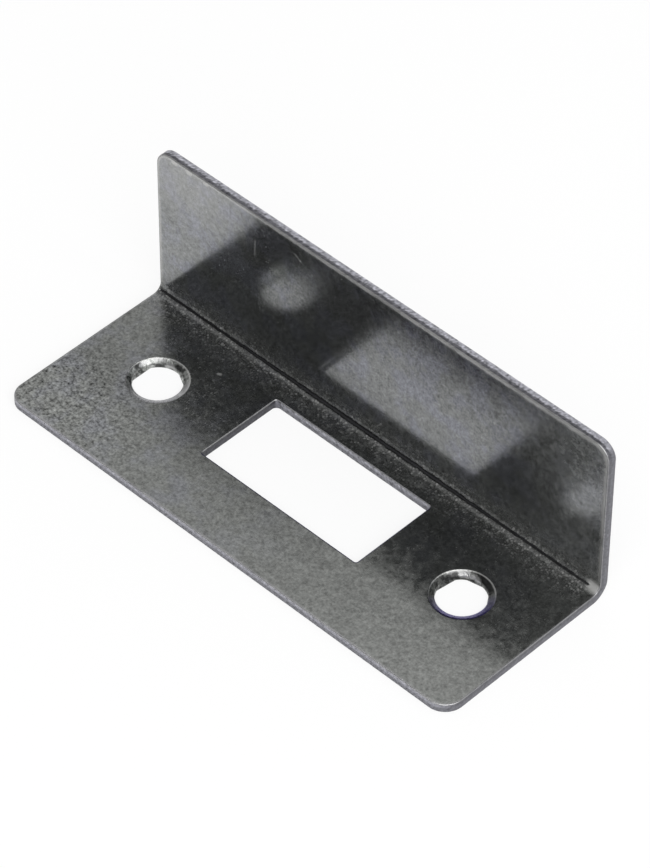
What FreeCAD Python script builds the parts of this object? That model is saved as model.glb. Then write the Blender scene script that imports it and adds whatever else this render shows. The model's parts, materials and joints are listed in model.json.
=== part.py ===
import FreeCAD, Part
import Sketcher
import math
import os

# Angled door strike plate: one steel sheet, punched flat and folded once.
# Millimetres. X runs along the fold, Y from the front edge towards the upright, Z up.
# The origin is on the underside, midway between the two screw holes.

os.makedirs("parts", exist_ok=True)
doc = FreeCAD.newDocument("strike_plate")

# Driving dimensions: alias, value, what it is
SIZES = [
    ("plate_length", 60.0, "length along the fold"),
    ("leg_depth", 22.4, "flat leg, front edge to the upright's rear face"),
    ("upright_height", 20.0, "underside of the flat leg to the upright's top edge"),
    ("thickness", 1.0, "thickness of the steel sheet"),
    ("bend_inside", 1.0, "inside radius of the fold"),
    ("corner_round", 2.0, "radius of the four outer corners"),
    ("slot_length", 21.1, "latch slot along the fold"),
    ("slot_width", 10.4, "latch slot across the flat leg"),
    ("slot_from_front", 7.9, "front edge to the near side of the slot"),
    ("slot_shift", 0.2, "middle of the slot, right of the middle of the plate"),
    ("slot_corner", 0.35, "radius left by the punch in the slot's corners"),
    ("screw_spacing", 41.5, "distance between the screw holes"),
    ("screw_from_front", 12.1, "front edge to the line of the screw holes"),
    ("screw_clearance", 5.2, "diameter of each screw hole"),
    ("screw_head", 6.4, "diameter of the countersink at the inner face"),
    ("screw_head_angle", 90.0, "included angle of the countersink"),
    ("rolled_rim", 0.16, "rounding of the cut edges on the inner face"),
    ("burr_rim", 0.05, "rounding of the cut edges on the outer face"),
    ("crease_width", 0.36, "width of the crease pressed into the inside of the fold"),
    ("crease_depth", 0.26, "depth of the crease below the inside radius"),
    ("crease_left_gap", 0.3, "left end of the plate to the crease"),
    ("crease_right_gap", 1.3, "right end of the plate to the crease"),
]
sizes = doc.addObject("Spreadsheet::Sheet", "sizes")
for row, (alias, value, note) in enumerate(SIZES, start=1):
    sizes.set(f"A{row}", note)
    sizes.set(f"B{row}", str(value))
    sizes.setAlias(f"B{row}", alias)
doc.recompute()


def size(alias):
    return float(getattr(sizes, alias))


# Places that several features share, worked out from the sheet
THICKNESS = size("thickness")
FRONT = -size("screw_from_front")
REAR = FRONT + size("leg_depth")
TOP = size("upright_height")
HALF_LENGTH = size("plate_length") / 2
BEND_INSIDE = size("bend_inside")
BEND_OUTSIDE = BEND_INSIDE + THICKNESS
BEND_Y = REAR - BEND_OUTSIDE
BEND_Z = BEND_OUTSIDE
SLOT_NEAR = FRONT + size("slot_from_front")
SLOT_FAR = SLOT_NEAR + size("slot_width")
SLOT_LEFT = size("slot_shift") - size("slot_length") / 2
SLOT_RIGHT = size("slot_shift") + size("slot_length") / 2
HALF_SPACING = size("screw_spacing") / 2
SCREW_RADIUS = size("screw_clearance") / 2
CREASE_RADIUS = size("crease_width") / 2
CREASE_REACH = BEND_INSIDE + size("crease_depth") - CREASE_RADIUS
CREASE_TILT = -math.pi / 4
TOUCHING = 1e-4

# The sketcher's numbers for the ends and centre of a curve, and for the sketch's origin and axis
START, END, CENTRE = range(1, 4)
ORIGIN = AXIS = -1


def add_sketch(name, role):
    """A sketch on one of the body's own origin planes."""
    sketch = body.newObject("Sketcher::SketchObject", name)
    plane = next(f for f in body.Origin.OriginFeatures if f.Role == role)
    sketch.AttachmentSupport = [(plane, "")]
    sketch.MapMode = "FlatFace"
    return sketch


def constrain(sketch, kind, *where):
    sketch.addConstraint(Sketcher.Constraint(kind, *where))


def drive(sketch, name, expression, kind, *where):
    """A named dimension of the sketch that takes its value from the sheet."""
    index = sketch.addConstraint(Sketcher.Constraint(kind, *where))
    sketch.renameConstraint(index, name)
    sketch.setExpression(f"Constraints.{name}", expression)


def flat(first, second):
    return FreeCAD.Vector(first, second, 0)


def circle(first, second, radius):
    return Part.Circle(flat(first, second), FreeCAD.Vector(0, 0, 1), radius)


def finish_cut(feature, before):
    """Recompute a cut and make sure that it took metal away."""
    doc.recompute()
    if not feature.Shape.Volume < before.Shape.Volume:
        raise RuntimeError(f"{feature.Label} cuts nothing")


def close(a, b):
    return abs(a - b) < TOUCHING


def add_fillet(name, belongs, radius):
    """Round those edges of the body so far whose ends and middle all pass the test."""
    base = body.Tip
    picked = []
    for number, edge in enumerate(base.Shape.Edges, start=1):
        first, last = edge.ParameterRange
        points = [edge.valueAt(first + (last - first) * share) for share in (0.0, 0.5, 1.0)]
        if all(belongs(point) for point in points) and not is_bend_line(points):
            picked.append(f"Edge{number}")
    fillet = body.newObject("PartDesign::Fillet", name)
    fillet.Base = (base, picked)
    fillet.setExpression("Radius", radius)
    doc.recompute()


def is_bend_line(points):
    """True on the seams along X where a flat leg runs into the fold."""
    first = points[0]
    straight = all(close(point.y, first.y) and close(point.z, first.z) for point in points)
    return straight and (close(first.y, BEND_Y) or close(first.z, BEND_Z))


def on_skin(point, floor, wall, radius):
    """True on one side of the sheet: on its flat leg, its upright or the fold between them."""
    if point.y < BEND_Y + TOUCHING:
        return close(point.z, floor)
    if point.z > BEND_Z - TOUCHING:
        return close(point.y, wall)
    return close(math.hypot(point.y - BEND_Y, point.z - BEND_Z), radius)


def on_inner_skin(point):
    return on_skin(point, THICKNESS, REAR - THICKNESS, BEND_INSIDE)


def on_outer_skin(point):
    return on_skin(point, 0.0, REAR, BEND_OUTSIDE)


def at_outer_corner(point):
    return close(abs(point.x), HALF_LENGTH) and (close(point.y, FRONT) or close(point.z, TOP))


def at_slot_corner(point):
    at_end = close(point.x, SLOT_LEFT) or close(point.x, SLOT_RIGHT)
    at_side = close(point.y, SLOT_NEAR) or close(point.y, SLOT_FAR)
    return at_end and at_side


body = doc.addObject("PartDesign::Body", "strike_plate")
body.Label = "strike_plate"
body.Placement = FreeCAD.Placement()

# Section of the folded sheet: two flat legs joined by arcs about one bend centre.
# The sketch's first axis is Y and its second is Z.
section = add_sketch("section", "YZ_Plane")
UNDERSIDE, OUTER_BEND, BACK, CREST, FACE, INNER_BEND, FLOOR, LIP = range(8)
section.addGeometry(
    [
        Part.LineSegment(flat(FRONT, 0), flat(BEND_Y, 0)),
        Part.ArcOfCircle(circle(BEND_Y, BEND_Z, BEND_OUTSIDE), -math.pi / 2, 0),
        Part.LineSegment(flat(REAR, BEND_Z), flat(REAR, TOP)),
        Part.LineSegment(flat(REAR, TOP), flat(REAR - THICKNESS, TOP)),
        Part.LineSegment(flat(REAR - THICKNESS, TOP), flat(REAR - THICKNESS, BEND_Z)),
        Part.ArcOfCircle(circle(BEND_Y, BEND_Z, BEND_INSIDE), -math.pi / 2, 0),
        Part.LineSegment(flat(BEND_Y, THICKNESS), flat(FRONT, THICKNESS)),
        Part.LineSegment(flat(FRONT, THICKNESS), flat(FRONT, 0)),
    ],
    False,
)
constrain(section, "Tangent", UNDERSIDE, END, OUTER_BEND, START)
constrain(section, "Tangent", OUTER_BEND, END, BACK, START)
constrain(section, "Coincident", BACK, END, CREST, START)
constrain(section, "Coincident", CREST, END, FACE, START)
constrain(section, "Tangent", FACE, END, INNER_BEND, END)
constrain(section, "Tangent", INNER_BEND, START, FLOOR, START)
constrain(section, "Coincident", FLOOR, END, LIP, START)
constrain(section, "Coincident", LIP, END, UNDERSIDE, START)
constrain(section, "Coincident", OUTER_BEND, CENTRE, INNER_BEND, CENTRE)
for line in (UNDERSIDE, CREST, FLOOR):
    constrain(section, "Horizontal", line)
for line in (BACK, FACE, LIP):
    constrain(section, "Vertical", line)
constrain(section, "PointOnObject", UNDERSIDE, START, AXIS)
drive(section, "front", "sizes.screw_from_front", "DistanceX", UNDERSIDE, START, ORIGIN, START, -FRONT)
drive(section, "depth", "sizes.leg_depth", "DistanceX", UNDERSIDE, START, BACK, END, REAR - FRONT)
drive(section, "height", "sizes.upright_height", "DistanceY", ORIGIN, START, BACK, END, TOP)
drive(section, "gauge", "sizes.thickness", "DistanceX", CREST, END, CREST, START, THICKNESS)
drive(section, "inside", "sizes.bend_inside", "Radius", INNER_BEND, BEND_INSIDE)

folded_sheet = body.newObject("PartDesign::Pad", "folded_sheet")
folded_sheet.Profile = section
folded_sheet.SideType = "Symmetric"
folded_sheet.setExpression("Length", "sizes.plate_length")
doc.recompute()
add_fillet("outer_corners", at_outer_corner, "sizes.corner_round")

# Latch slot, punched through the flat leg a little to the right of its middle
slot_outline = add_sketch("slot_outline", "XY_Plane")
NEAR, RIGHT, FAR, LEFT = range(4)
slot_outline.addGeometry(
    [
        Part.LineSegment(flat(SLOT_LEFT, SLOT_NEAR), flat(SLOT_RIGHT, SLOT_NEAR)),
        Part.LineSegment(flat(SLOT_RIGHT, SLOT_NEAR), flat(SLOT_RIGHT, SLOT_FAR)),
        Part.LineSegment(flat(SLOT_RIGHT, SLOT_FAR), flat(SLOT_LEFT, SLOT_FAR)),
        Part.LineSegment(flat(SLOT_LEFT, SLOT_FAR), flat(SLOT_LEFT, SLOT_NEAR)),
    ],
    False,
)
for line, following in ((NEAR, RIGHT), (RIGHT, FAR), (FAR, LEFT), (LEFT, NEAR)):
    constrain(slot_outline, "Coincident", line, END, following, START)
for line in (NEAR, FAR):
    constrain(slot_outline, "Horizontal", line)
for line in (RIGHT, LEFT):
    constrain(slot_outline, "Vertical", line)
drive(
    slot_outline, "length", "sizes.slot_length",
    "DistanceX", NEAR, START, NEAR, END, SLOT_RIGHT - SLOT_LEFT,
)
drive(
    slot_outline, "right_end", "sizes.slot_length / 2 + sizes.slot_shift",
    "DistanceX", ORIGIN, START, NEAR, END, SLOT_RIGHT,
)
drive(
    slot_outline, "width", "sizes.slot_width",
    "DistanceY", RIGHT, START, RIGHT, END, SLOT_FAR - SLOT_NEAR,
)
drive(
    slot_outline, "near_side", "sizes.screw_from_front - sizes.slot_from_front",
    "DistanceY", NEAR, START, ORIGIN, START, -SLOT_NEAR,
)

latch_slot = body.newObject("PartDesign::Pocket", "latch_slot")
solid_plate = latch_slot.BaseFeature
latch_slot.Profile = slot_outline
latch_slot.Type = "ThroughAll"
latch_slot.Reversed = True
finish_cut(latch_slot, solid_plate)
add_fillet("slot_corners", at_slot_corner, "sizes.slot_corner")

# Cut edges: rolled over where the punch entered, slightly broken on the other side
add_fillet("rolled_rims", on_inner_skin, "sizes.rolled_rim")
add_fillet("burr_rims", on_outer_skin, "sizes.burr_rim")

# Two screw holes, countersunk from the inner face
screw_places = add_sketch("screw_places", "XY_Plane")
screw_places.setExpression("AttachmentOffset.Base.z", "sizes.thickness")
for side in (-1, 1):
    index = screw_places.addGeometry(circle(side * HALF_SPACING, 0, SCREW_RADIUS), False)
    constrain(screw_places, "PointOnObject", index, CENTRE, AXIS)
    drive(
        screw_places, f"bore_{index}", "sizes.screw_clearance / 2",
        "Radius", index, SCREW_RADIUS,
    )
LEFT_HOLE, RIGHT_HOLE = range(2)
drive(
    screw_places, "spacing", "sizes.screw_spacing",
    "DistanceX", LEFT_HOLE, CENTRE, RIGHT_HOLE, CENTRE, 2 * HALF_SPACING,
)
drive(
    screw_places, "right_half", "sizes.screw_spacing / 2",
    "DistanceX", ORIGIN, START, RIGHT_HOLE, CENTRE, HALF_SPACING,
)
doc.recompute()

screw_holes = body.newObject("PartDesign::Hole", "screw_holes")
slotted_plate = screw_holes.BaseFeature
screw_holes.Profile = screw_places
doc.recompute()
screw_holes.DepthType = "ThroughAll"
screw_holes.HoleCutType = "Countersink"
screw_holes.HoleCutCustomValues = True
screw_holes.setExpression("Diameter", "sizes.screw_clearance")
screw_holes.setExpression("HoleCutDiameter", "sizes.screw_head")
screw_holes.setExpression("HoleCutCountersinkAngle", "sizes.screw_head_angle")
finish_cut(screw_holes, slotted_plate)

# Crease along the inside of the fold: a fine round-bottomed groove on the fold's middle line,
# shorter than the plate. A spoke from the bend centre carries it.
crease_profile = add_sketch("crease_profile", "YZ_Plane")
crease_profile.setExpression(
    "AttachmentOffset.Base.z", "sizes.crease_left_gap - sizes.plate_length / 2"
)
crease_centre = flat(
    BEND_Y + CREASE_REACH * math.cos(CREASE_TILT), BEND_Z + CREASE_REACH * math.sin(CREASE_TILT)
)
GROOVE = crease_profile.addGeometry(circle(crease_centre.x, crease_centre.y, CREASE_RADIUS), False)
SPOKE = crease_profile.addGeometry(Part.LineSegment(flat(BEND_Y, BEND_Z), crease_centre), True)
constrain(crease_profile, "Coincident", SPOKE, END, GROOVE, CENTRE)
constrain(crease_profile, "Angle", SPOKE, CREASE_TILT)
drive(
    crease_profile, "bend_centre_in",
    "sizes.leg_depth - sizes.screw_from_front - sizes.thickness - sizes.bend_inside",
    "DistanceX", ORIGIN, START, SPOKE, START, BEND_Y,
)
drive(
    crease_profile, "bend_centre_up", "sizes.thickness + sizes.bend_inside",
    "DistanceY", ORIGIN, START, SPOKE, START, BEND_Z,
)
drive(
    crease_profile, "reach", "sizes.bend_inside + sizes.crease_depth - sizes.crease_width / 2",
    "Distance", SPOKE, CREASE_REACH,
)
drive(crease_profile, "radius", "sizes.crease_width / 2", "Radius", GROOVE, CREASE_RADIUS)

crease = body.newObject("PartDesign::Pocket", "crease")
drilled_plate = crease.BaseFeature
crease.Profile = crease_profile
crease.Reversed = True
crease.setExpression(
    "Length", "sizes.plate_length - sizes.crease_left_gap - sizes.crease_right_gap"
)
finish_cut(crease, drilled_plate)

for item in doc.Objects:
    if "Invalid" in item.State or "Error" in item.State:
        raise RuntimeError(f"{item.Label} failed: {item.State}")
shape = body.Shape
if shape.isNull() or not shape.isValid() or len(shape.Solids) != 1:
    raise RuntimeError(f"{body.Label} is not one valid solid")
shape.exportStep(f"parts/{body.Label}.step")
print(body.Label, "volume", round(shape.Volume, 2), "box", shape.BoundBox)
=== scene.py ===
"""Looks of a folded door strike plate: its punched and folded sheet, its blackened finish and its studio."""

import json
import math

import bmesh
import bpy
from bpy.props import FloatProperty, FloatVectorProperty, IntProperty, PointerProperty
from mathutils import Matrix, Vector
from mathutils.geometry import delaunay_2d_cdt


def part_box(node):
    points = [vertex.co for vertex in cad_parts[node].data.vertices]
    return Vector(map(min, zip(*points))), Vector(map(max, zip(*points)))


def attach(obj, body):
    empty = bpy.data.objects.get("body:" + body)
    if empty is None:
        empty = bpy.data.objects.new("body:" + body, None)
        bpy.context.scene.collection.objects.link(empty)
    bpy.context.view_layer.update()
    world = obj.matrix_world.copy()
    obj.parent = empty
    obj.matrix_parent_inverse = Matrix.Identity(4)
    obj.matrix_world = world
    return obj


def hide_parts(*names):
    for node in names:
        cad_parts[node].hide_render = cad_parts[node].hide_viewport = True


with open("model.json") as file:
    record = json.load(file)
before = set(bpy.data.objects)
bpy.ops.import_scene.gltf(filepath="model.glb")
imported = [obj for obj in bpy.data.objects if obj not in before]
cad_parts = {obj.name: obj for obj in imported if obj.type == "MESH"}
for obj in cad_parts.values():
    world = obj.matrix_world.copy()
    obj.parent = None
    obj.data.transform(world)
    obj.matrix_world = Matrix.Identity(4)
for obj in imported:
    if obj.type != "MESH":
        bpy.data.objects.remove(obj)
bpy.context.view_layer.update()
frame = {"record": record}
NODE = "strike_plate"
BODY = "root"
PLATE_LOW, PLATE_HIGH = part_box(NODE)
SCREWS = next(m for m in frame["record"]["mounts"] if m["name"] == "screw_holes")

bl_info = {
    "name": "Door strike plate",
    "version": (1, 0, 0),
    "blender": (4, 5, 0),
    "location": "View3D > Sidebar > Strike plate",
    "description": "Punches, folds and blackens a door strike plate",
    "category": "Object",
}

MM = 0.001
QUARTER = math.pi / 2


def length(name, description, millimetres):
    """A size that a user would change, given in millimetres."""
    return FloatProperty(
        name=name, description=description, default=millimetres * MM, unit="LENGTH", precision=6,
    )


def share(name, description, value):
    return FloatProperty(
        name=name, description=description, default=value, min=0, max=1, subtype="FACTOR",
    )


def colour(name, description, value):
    return FloatVectorProperty(
        name=name, description=description, default=value, min=0, max=1, size=3, subtype="COLOR",
    )


class PlateSizes(bpy.types.PropertyGroup):
    """Sizes of the punched sheet and its fold"""

    thickness: length("Thickness", "Thickness of the sheet", 1.0)
    bend_inside: length("Bend inside", "Inside radius of the fold", 1.0)
    front_left: length("Front left corner", "Radius of the flat leg's left corner", 2.0)
    front_right: length("Front right corner", "Radius of the flat leg's right corner", 2.2)
    top_left: length("Top left corner", "Radius of the upright's left corner", 1.9)
    top_right: length("Top right corner", "Radius of the upright's right corner", 1.75)
    slot_length: length("Slot length", "Latch slot along the fold", 21.1)
    slot_width: length("Slot width", "Latch slot across the flat leg", 10.44)
    slot_from_front: length("Slot from front", "Front edge to the near side of the slot", 7.86)
    slot_shift: length("Slot shift", "Middle of the slot, right of the middle of the plate", 0.2)
    slot_corner: length("Slot corner", "Radius of the slot's corners at the inner face", 0.25)
    slot_corner_below: length("Slot corner below", "Radius of the slot's corners at the outer face", 0.6)
    screw_head: length("Countersink", "Diameter of the countersinks at the inner face", 6.5)
    head_shift: length("Countersink shift", "How far each countersink sits from its hole's middle", 0.22)
    screw_shift: length("Screw shift", "How far left the punch set both screw holes", 0.09)
    rolled_rim: length("Rolled rim", "Rounding of the cut edges on the inner face", 0.12)
    burr_rim: length("Burr rim", "Rounding of the cut edges on the outer face", 0.03)


class MarkSettings(bpy.types.PropertyGroup):
    """The crease on the inside of the fold and the marks of the punch"""

    crease_width: length("Crease width", "Width of the crease at its mouth", 0.38)
    crease_depth: length("Crease depth", "Depth of the crease", 0.26)
    left_gap: length("Left gap", "Left end of the plate to the crease", 0.3)
    right_gap: length("Right gap", "Right end of the plate to the crease", 1.3)
    grain_height: length("Grain height", "Height of the crushed grains beside the crease", 0.02)
    grain_size: length("Grain size", "Size of the crushed grains beside the crease", 0.3)
    shear_depth: length("Shear depth", "Depth of the marks on the cut edges", 0.02)
    shear_spacing: length("Shear spacing", "Distance between the marks on the cut edges", 0.3)
    seed: IntProperty(name="Seed", description="Start of the random marks", default=4, min=0)


class FinishColours(bpy.types.PropertyGroup):
    """Colours of the blackened steel"""

    skin: colour("Skin", "Blackened face of the sheet", (0.270, 0.277, 0.267))
    bluish: colour("Bluish skin", "Patches of the blackening that lean to blue", (0.264, 0.271, 0.298))
    skin_roughness: share("Skin roughness", "Roughness of the middle of the upright's face", 0.13)
    leg_roughness: share("Leg roughness", "Roughness of the flat leg's face", 0.19)
    cut: colour("Cut edge", "Sheared edge of the sheet", (0.195, 0.195, 0.215))
    cut_roughness: share("Cut roughness", "Roughness of the sheared edge", 0.42)
    # Bared metal where the blackening has worn off; the same colour is laid as painted highlights on rims,
    # borders, glints and the holes' near sides, and as a painted reflection on the upright.
    bare_and_highlight: colour("Bare metal", "Metal where the blackening has worn off", (0.56, 0.56, 0.55))
    # Dark colour: painted shade in the crease, and laid more thinly to darken the band beside it.
    crease_shade: colour("Crease shade", "Dirt held in the crease", (0.06, 0.06, 0.065))
    oxide: colour("Oxide", "Blue oxide on the near sides of the slot and the holes", (0.12, 0.10, 0.33))


class StudioSettings(bpy.types.PropertyGroup):
    """Floor, lights and camera"""

    floor: colour("Floor", "Colour of the floor", (0.85, 0.85, 0.85))
    light_level: FloatProperty(
        name="Light level", description="Brightness of the softbox", default=2.5, min=0,
    )
    light_direction: FloatVectorProperty(
        name="Light direction", description="Direction from the plate to the softbox",
        default=(0.6, -0.35, 0.72), size=3, subtype="DIRECTION",
    )
    light_distance: FloatProperty(
        name="Light distance", description="The plate to the softbox", default=1.2, unit="LENGTH",
    )
    light_spread: FloatProperty(
        name="Light spread", description="Half of the angle that the softbox fills, seen from the plate",
        default=math.radians(33), subtype="ANGLE",
    )
    azimuth: FloatProperty(
        name="Azimuth", description="Camera's turn about the plate, from the front towards the right",
        default=math.radians(44.114), subtype="ANGLE",
    )
    elevation: FloatProperty(
        name="Elevation", description="Camera's height above the floor, as an angle",
        default=math.radians(45.111), subtype="ANGLE",
    )
    roll: FloatProperty(
        name="Roll", description="Camera's turn about its own line of sight",
        default=math.radians(0.308), subtype="ANGLE",
    )
    distance: length("Distance", "Camera to the point that it looks at", 439.003)
    aim: FloatVectorProperty(
        name="Aim", description="Point that the camera looks at", default=(0.002154, 0.000280, 0.009154),
        size=3, subtype="XYZ", unit="LENGTH", precision=6,
    )
    lens: FloatProperty(
        name="Lens", description="Focal length in millimetres, for a frame 36 mm high", default=189.84,
    )


class NodeWriter:
    """Adds nodes to a tree so that sums over sockets and numbers read as formulas."""

    def __init__(self, tree):
        self.tree = tree

    def put(self, socket, value):
        if isinstance(value, bpy.types.NodeSocket):
            self.tree.links.new(value, socket)
        else:
            socket.default_value = value

    def add(self, kind, inputs=None, **settings):
        node = self.tree.nodes.new(kind)
        for name, value in settings.items():
            setattr(node, name, value)
        for name, value in (inputs or {}).items():
            self.put(node.inputs[name], value)
        return node

    def math(self, operation, *values, clamp=False):
        node = self.add("ShaderNodeMath", operation=operation, use_clamp=clamp)
        for socket, value in zip(node.inputs, values):
            self.put(socket, value)
        return node.outputs[0]

    def chain(self, operation, total, *values):
        """The same sum over any number of values, from the first to the last."""
        for value in values:
            total = self.math(operation, total, value)
        return total

    def plus(self, *values):
        return self.chain("ADD", *values)

    def times(self, *values):
        return self.chain("MULTIPLY", *values)

    def most(self, *values):
        return self.chain("MAXIMUM", *values)

    def minus(self, a, b):
        return self.math("SUBTRACT", a, b)

    def over(self, a, b):
        return self.math("DIVIDE", a, b)

    def between(self, share, a, b):
        """The number that lies some share of the way from a to b."""
        return self.plus(a, self.times(share, self.minus(b, a)))

    def vector(self, operation, *values):
        node = self.add("ShaderNodeVectorMath", operation=operation)
        for socket, value in zip((s for s in node.inputs if s.enabled), values):
            self.put(socket, value)
        return next(s for s in node.outputs if s.enabled)

    def scaled(self, vector, factor):
        result = self.vector("SCALE", vector)
        self.put(result.node.inputs["Scale"], factor)
        return result

    def xyz(self, vector):
        return self.add("ShaderNodeSeparateXYZ", {"Vector": vector}).outputs

    def join(self, x, y, z):
        return self.add("ShaderNodeCombineXYZ", {"X": x, "Y": y, "Z": z}).outputs[0]

    def noise(self, vector, scale, detail=2.0, roughness=0.5, distortion=0.0):
        """Noise from 0 to 1 whose features are about one length of the vector over the scale."""
        values = {
            "Vector": vector, "Scale": scale, "Detail": detail,
            "Roughness": roughness, "Distortion": distortion,
        }
        return self.add("ShaderNodeTexNoise", values).outputs[0]

    def dots(self, vector, scale, radius, scarcity):
        """Round dots of random brightness, about one length of the vector over the scale apart."""
        cells = self.add("ShaderNodeTexVoronoi", {"Vector": vector, "Scale": scale})
        bright = self.step(self.xyz(cells.outputs["Color"])[0], scarcity, 1.0)
        return self.times(bright, self.step(cells.outputs["Distance"], radius * 0.3, radius, 1.0, 0.0))

    def step(self, value, low, high, to_low=0.0, to_high=1.0):
        """value read between two numbers, eased, as a number between two others."""
        node = self.add("ShaderNodeMapRange", interpolation_type="SMOOTHSTEP")
        for socket, number in zip(node.inputs, (value, low, high, to_low, to_high)):
            self.put(socket, number)
        return node.outputs[0]

    def mix(self, factor, a, b):
        """Two colours, mixed."""
        node = self.add("ShaderNodeMix", data_type="RGBA")
        for index, value in ((0, factor), (6, a), (7, b)):
            self.put(node.inputs[index], value)
        return node.outputs[2]

    def paint(self, base, factor, colour_value):
        """A colour laid over a base."""
        return self.mix(factor, base, (*colour_value, 1.0))

    def mix_shaders(self, factor, a, b):
        node = self.add("ShaderNodeMixShader")
        for socket, value in zip(node.inputs, (factor, a.outputs[0], b.outputs[0])):
            self.put(socket, value)
        return node.outputs[0]

    def attribute(self, name, vector=False):
        """A value that the fold left on each point of the plate."""
        node = self.add("ShaderNodeAttribute", attribute_name=name)
        return node.outputs["Vector" if vector else "Fac"]

    def group(self, tree, **inputs):
        node = self.tree.nodes.new("ShaderNodeGroup")
        node.node_tree = tree
        for name, value in inputs.items():
            self.put(node.inputs[name.capitalize()], value)
        return node.outputs


def new_tree(name, kind, inputs, outputs):
    """A node group with named inputs and outputs, and the sockets of its two end nodes."""
    tree = bpy.data.node_groups.new(name, kind)
    for label, socket_type in inputs:
        tree.interface.new_socket(name=label, in_out="INPUT", socket_type=socket_type)
    for label, socket_type in outputs:
        tree.interface.new_socket(name=label, in_out="OUTPUT", socket_type=socket_type)
    start = tree.nodes.new("NodeGroupInput").outputs
    end = tree.nodes.new("NodeGroupOutput").inputs
    return tree, start, end


def grey(value):
    return (value, value, value, 1.0)


# The blank is the flat sheet before it is folded.
# x runs along the fold, s across the sheet from the front edge, and heights go up from the outer face.

EDGE_STEP = 0.15 * MM
CORNER_STEPS = 20
SLOT_CORNER_STEPS = 8
HOLE_STEPS = 144
RIM_STEPS = 5
WALL_STEPS = 6
LEG_GRID = 1.0 * MM
CREASE_GRID = 0.12 * MM
CREASE_MARGIN = 0.7 * MM
# How far down the sheet the burr flaps start, and how wide the flat strip beside each rim is.
BURR_FROM = 0.85
GUARD = 0.07 * MM
# The cones of the screw holes, the worn roll at their mouths, and the lips at both ends of the holes.
CONE_DEPTH = 0.5 * MM
CONE_STEPS = 7
ROLL = 0.15 * MM
ROLL_DEPTH = 0.07 * MM
ROLL_SHOULDER = 0.35
LIP = 0.02 * MM
BORE_END = 0.1 * MM


class Rectangle:
    """A rectangle with round corners, and the same number of points at every growth.

    Its radii stand in this order: front right, back right, back left, front left.
    """

    def __init__(self, low, high, radii, radii_below, corner_steps):
        self.low, self.high, self.radii, self.corner_steps = low, high, radii, corner_steps
        self.radii_below = radii_below
        self.side_counts = [round((high[i] - low[i] - 2 * radii[0]) / EDGE_STEP) for i in (1, 0)]

    def points(self, growth, share_down):
        """Points round the rectangle grown by some length, each with its outward direction."""
        radii = [above + (below - above) * share_down for above, below in zip(self.radii, self.radii_below)]
        (left, front), (right, back) = self.low, self.high
        corners = ((right, front, -1), (right, back, 0), (left, back, 1), (left, front, 2))
        found = []
        for index, (x, s, turn) in enumerate(corners):
            radius, following = radii[index], radii[(index + 1) % len(radii)]
            reach = radius + growth
            centre_x = x - math.copysign(radius, x - (left + right) / 2)
            centre_s = s - math.copysign(radius, s - (front + back) / 2)
            for step in range(self.corner_steps + 1):
                angle = QUARTER * (turn + step / self.corner_steps)
                out = (math.cos(angle), math.sin(angle))
                found.append((centre_x + reach * out[0], centre_s + reach * out[1], out))
            run = (back - front if index % 2 == 0 else right - left) - radius - following
            count = self.side_counts[index % 2]
            start_x, start_s, out = found[-1]
            for step in range(1, count):
                distance = run * step / count
                found.append((start_x - out[1] * distance, start_s + out[0] * distance, out))
        return found

    def distance(self, x, s):
        """How far outside the rectangle a point lies, and less than nothing inside it."""
        middle_x, middle_s = (self.low[0] + self.high[0]) / 2, (self.low[1] + self.high[1]) / 2
        front_right, back_right, back_left, front_left = self.radii
        if x > middle_x:
            radius = back_right if s > middle_s else front_right
        else:
            radius = back_left if s > middle_s else front_left
        reach_x = abs(x - middle_x) - (self.high[0] - self.low[0]) / 2 + radius
        reach_s = abs(s - middle_s) - (self.high[1] - self.low[1]) / 2 + radius
        outside = math.hypot(max(reach_x, 0), max(reach_s, 0))
        return outside + min(max(reach_x, reach_s), 0) - radius


class Circle:
    """A round hole with a wider mouth, whose middle is shifted.

    Each burr is a straight flap left across its lower end: a direction and a distance.
    """

    def __init__(self, x, s, radius, flare, shift, burrs):
        self.x, self.s, self.radius, self.flare, self.shift, self.burrs = x, s, radius, flare, shift, burrs

    def points(self, growth, share_down):
        share_out = growth / self.flare
        middle_x, middle_s = self.x + self.shift[0] * share_out, self.s + self.shift[1] * share_out
        found = []
        for step in range(HOLE_STEPS):
            angle = 2 * math.pi * step / HOLE_STEPS
            out = (math.cos(angle), math.sin(angle))
            reach = self.radius + growth
            for direction, distance in self.burrs:
                facing = math.cos(angle - direction)
                if share_down > BURR_FROM and facing > 0:
                    reach = min(reach, distance / facing)
            found.append((middle_x + reach * out[0], middle_s + reach * out[1], out))
        return found

    def distance(self, x, s):
        return math.hypot(x - self.x - self.shift[0], s - self.s - self.shift[1]) - self.radius


# How light a cut edge is above and below, how worn its rims are and how strong its streaks, by the side that
# it faces.
# The lightness from side to side is painted light and shade, and the rims' lightness is partly worn metal
# and partly a painted highlight.
OUTLINE_TONES = {
    "front": (2.1, 1.3, 1.0, 2.2), "right": (0.85, 1.05, 0.5, 1.2),
    "back": (0.75, 2.4, 1.0, 3.2), "left": (0.6, 0.7, 0.6, 1.2),
}
SLOT_TONES = {
    "front": (1.9, 1.2, 0.8, 3.0), "right": (0.5, 0.6, 0.8, 1.5),
    "back": (0.3, 0.3, 0.1, 1.0), "left": (0.3, 0.3, 0.6, 1.0),
}
# The tones of the left hole and of the right one, the left one lighter as painted light, and how far the
# blue oxide covers their near sides.
HOLE_TONES = {-1: (1.9, 1.9, 0.75, 1.3), 1: (0.75, 0.75, 0.75, 1.3)}
HOLE_OXIDE = {-1: 0.1, 1: 0.95}


def blend_tones(tones, out):
    """The tones of the four sides, mixed for a wall that faces some direction in the sheet: painted light
    and shade by facing.
    """
    shares = {
        "front": max(-out[1], 0) ** 2, "right": max(out[0], 0) ** 2,
        "back": max(out[1], 0) ** 2, "left": max(-out[0], 0) ** 2,
    }
    return [sum(shares[side] * tones[side][i] for side in shares) for i in range(4)]


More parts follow.
